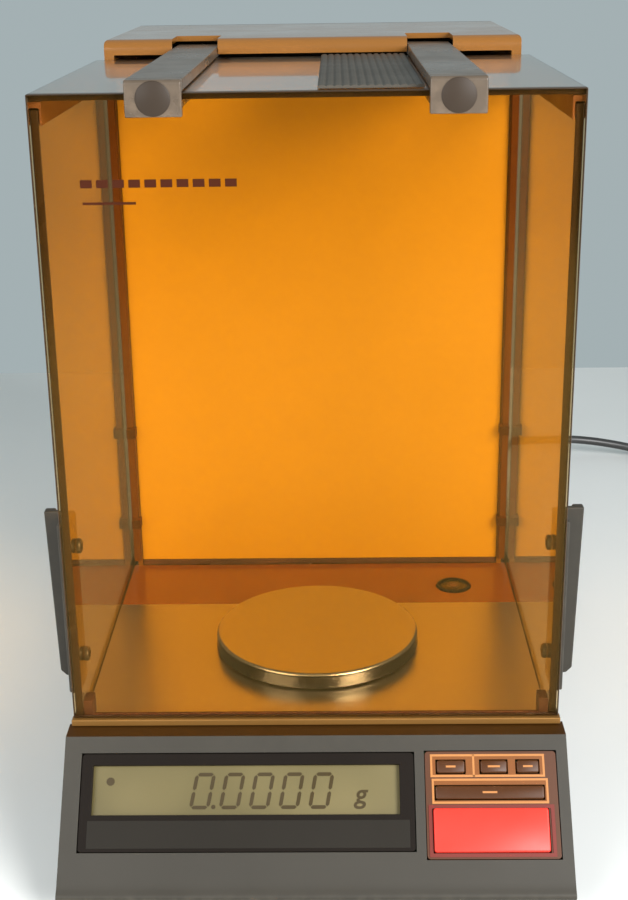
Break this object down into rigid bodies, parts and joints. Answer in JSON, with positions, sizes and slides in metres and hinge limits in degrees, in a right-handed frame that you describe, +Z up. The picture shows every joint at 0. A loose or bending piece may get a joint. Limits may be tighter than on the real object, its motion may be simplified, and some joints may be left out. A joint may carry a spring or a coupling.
{
  "type": "analytical balance",
  "caption": "Free-standing laboratory balance: closed weighing chamber of amber panes with sliding side and top doors, round pan, rear tower, sloping console with display and keys.",
  "frame": {"origin": "on the bench, under the middle of the balance without its mains lead", "axes": "+X to the operator's right, -Y towards the operator, +Z up"},
  "size_m": [0.4592, 0.5516, 0.33],
  "materials": {
    "housing_grey": "fine-grained moulded grey-brown plastic, worn at the edges",
    "orange_panel": "satin orange moulding",
    "amber_pane": "clear amber pane with dark edges",
    "stainless": "polished stainless sheet",
    "cast_aluminium": "as cast",
    "steel": "plated",
    "champagne_sill": "anodised champagne",
    "brown_gloss": "glossy dark brown",
    "dark_plastic": "satin near-black",
    "black_rubber": "matte",
    "lcd_glass": "olive reflective display with dark segments",
    "keypad_plate": "orange-brown plate with light outlines",
    "brown_key": "satin dark brown",
    "red_key": "satin red",
    "circuit_board": "solder mask",
    "cord_pvc": "satin black PVC"
  },
  "bodies": {
    "balance_body": {"base_tray": "housing_grey", "console_housing": "housing_grey", "rear_panel": "housing_grey", "top_rail_left": "housing_grey", "top_rail_right": "housing_grey", "rail_clip_left": "housing_grey", "rail_clip_right": "housing_grey", "tower_cover": "orange_panel", "chamber_back_wall": "orange_panel", "front_pane": "amber_pane", "top_pane_left": "amber_pane", "top_pane_right": "amber_pane", "chamber_floor": "stainless", "cell_frame": "cast_aluminium", "load_lever": "cast_aluminium", "magnet_pot": "steel", "transformer": "steel", "front_sill": "champagne_sill", "rear_floor_strip": "brown_gloss", "spirit_level": "dark_plastic", "display_bezel": "dark_plastic", "upper_channel_left": "dark_plastic", "upper_channel_right": "dark_plastic", "lower_channel_left": "dark_plastic", "lower_channel_right": "dark_plastic", "mains_inlet": "dark_plastic", "wall_seal": "black_rubber", "front_gasket": "black_rubber", "buffer_strip_left": "black_rubber", "buffer_strip_right": "black_rubber", "front_foot_left": "black_rubber", "front_foot_right": "black_rubber", "lcd_panel": "lcd_glass", "keypad_plate": "keypad_plate", "display_board": "circuit_board", "main_board": "circuit_board", "cord_connector": "cord_pvc", "cord_lead": "cord_pvc", "cord_tail": "cord_pvc", "cord_coil": "cord_pvc", "mains_plug": "cord_pvc"},
    "left_door": {"side_door_left": "amber_pane", "door_handle_left": "housing_grey", "handle_screw_left_lower": "steel", "handle_screw_left_upper": "steel"},
    "right_door": {"side_door_right": "amber_pane", "door_handle_right": "housing_grey", "handle_screw_right_lower": "steel", "handle_screw_right_upper": "steel"},
    "top_door_slider": {"top_door": "amber_pane", "top_door_grip": "dark_plastic"},
    "pan": {"weighing_pan": "stainless", "pan_carrier": "cast_aluminium"},
    "function_button": {"function_key": "brown_key"},
    "range_button": {"range_key": "brown_key"},
    "print_button": {"print_key": "brown_key"},
    "power_button": {"power_key": "brown_key"},
    "tare_button": {"tare_key": "red_key"},
    "left_foot": {"levelling_foot_left": "black_rubber"},
    "right_foot": {"levelling_foot_right": "black_rubber"}
  },
  "joints": [
    {"name": "left_door_slide", "type": "slide", "parent": "balance_body", "child": "left_door", "axis": [0, 1, 0], "range_m": [0, 0.118]},
    {"name": "right_door_slide", "type": "slide", "parent": "balance_body", "child": "right_door", "axis": [0, 1, 0], "range_m": [0, 0.118]},
    {"name": "top_door_slide", "type": "slide", "parent": "balance_body", "child": "top_door_slider", "axis": [0, 1, 0], "range_m": [0, 0.113]},
    {"name": "pan_lift", "type": "slide", "parent": "balance_body", "child": "pan", "axis": [0, 0, 1], "range_m": [0, 0.06]},
    {"name": "function_key_press", "type": "slide", "parent": "balance_body", "child": "function_button", "axis": [0, 0.7473, -0.6645], "range_m": [0, 0.0008], "stiffness_N_per_m": 1200, "springref_m": -0.0004},
    {"name": "range_key_press", "type": "slide", "parent": "balance_body", "child": "range_button", "axis": [0, 0.7473, -0.6645], "range_m": [0, 0.0008], "stiffness_N_per_m": 1200, "springref_m": -0.0004},
    {"name": "print_key_press", "type": "slide", "parent": "balance_body", "child": "print_button", "axis": [0, 0.7473, -0.6645], "range_m": [0, 0.0008], "stiffness_N_per_m": 1200, "springref_m": -0.0004},
    {"name": "power_key_press", "type": "slide", "parent": "balance_body", "child": "power_button", "axis": [0, 0.7473, -0.6645], "range_m": [0, 0.0008], "stiffness_N_per_m": 1200, "springref_m": -0.0004},
    {"name": "tare_key_press", "type": "slide", "parent": "balance_body", "child": "tare_button", "axis": [0, 0.7473, -0.6645], "range_m": [0, 0.0008], "stiffness_N_per_m": 1200, "springref_m": -0.0004},
    {"name": "left_foot_turn", "type": "hinge", "parent": "balance_body", "child": "left_foot", "pos_m": [-0.0726, 0.1395, 0], "axis": [0, 0, 1], "range_deg": [-360, 360]},
    {"name": "right_foot_turn", "type": "hinge", "parent": "balance_body", "child": "right_foot", "pos_m": [0.0726, 0.1395, 0], "axis": [0, 0, 1], "range_deg": [-360, 360]}
  ]
}
